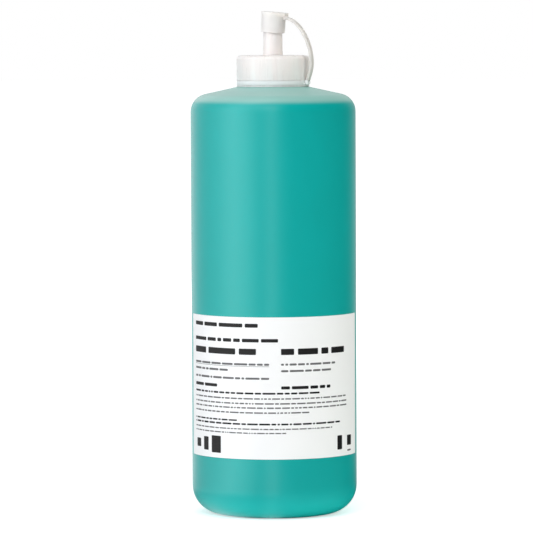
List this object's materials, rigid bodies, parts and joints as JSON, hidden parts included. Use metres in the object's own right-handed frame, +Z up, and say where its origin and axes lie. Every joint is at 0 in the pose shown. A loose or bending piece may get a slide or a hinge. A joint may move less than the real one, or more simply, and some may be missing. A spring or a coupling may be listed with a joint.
{
  "type": "hand soap refill bottle",
  "caption": "Tall round squeeze bottle of liquid soap with a screw closure, a straight spout, a tip cap on a tether strap and a wrap-round front label.",
  "frame": {"origin": "centre of the ring that the bottle stands on", "axes": "+Z up along the bottle's axis, the label faces -Y, the tether strap is on the +X side"},
  "size_m": [0.0818, 0.0821, 0.249],
  "materials": {
    "bottle_shell": "blow-moulded natural polyethylene, milky and translucent",
    "soap": "teal liquid soap",
    "label": "satin white label film with plain printed bars",
    "closure": "moulded natural polypropylene",
    "foam": "expanded polyethylene foam",
    "tether": "moulded natural low-density polyethylene"
  },
  "bodies": {
    "bottle": {"bottle": "bottle_shell", "soap_fill": "soap", "front_label": "label"},
    "tether": {"tether_ring": "tether", "strap": "tether"},
    "closure": {"closure": "closure", "sealing_washer": "foam"},
    "tip_cap": {"tip_cap": "tether"}
  },
  "joints": [
    {"name": "closure_rise", "type": "slide", "parent": "bottle", "child": "tether", "axis": [0, 0, 1], "range_m": [0, 0.00636]},
    {"name": "closure_turn", "type": "hinge", "parent": "tether", "child": "closure", "pos_m": [0, 0, 0.212], "axis": [0, 0, 1], "range_deg": [0, 540]},
    {"name": "tip_cap_pull", "type": "slide", "parent": "tether", "child": "tip_cap", "axis": [0, 0, 1], "range_m": [0, 0.0056], "deforming": ["strap"]}
  ],
  "couplings": [
    {"joint": "closure_rise", "follows": "closure_turn", "m_per_rad": 0.00067322}
  ]
}
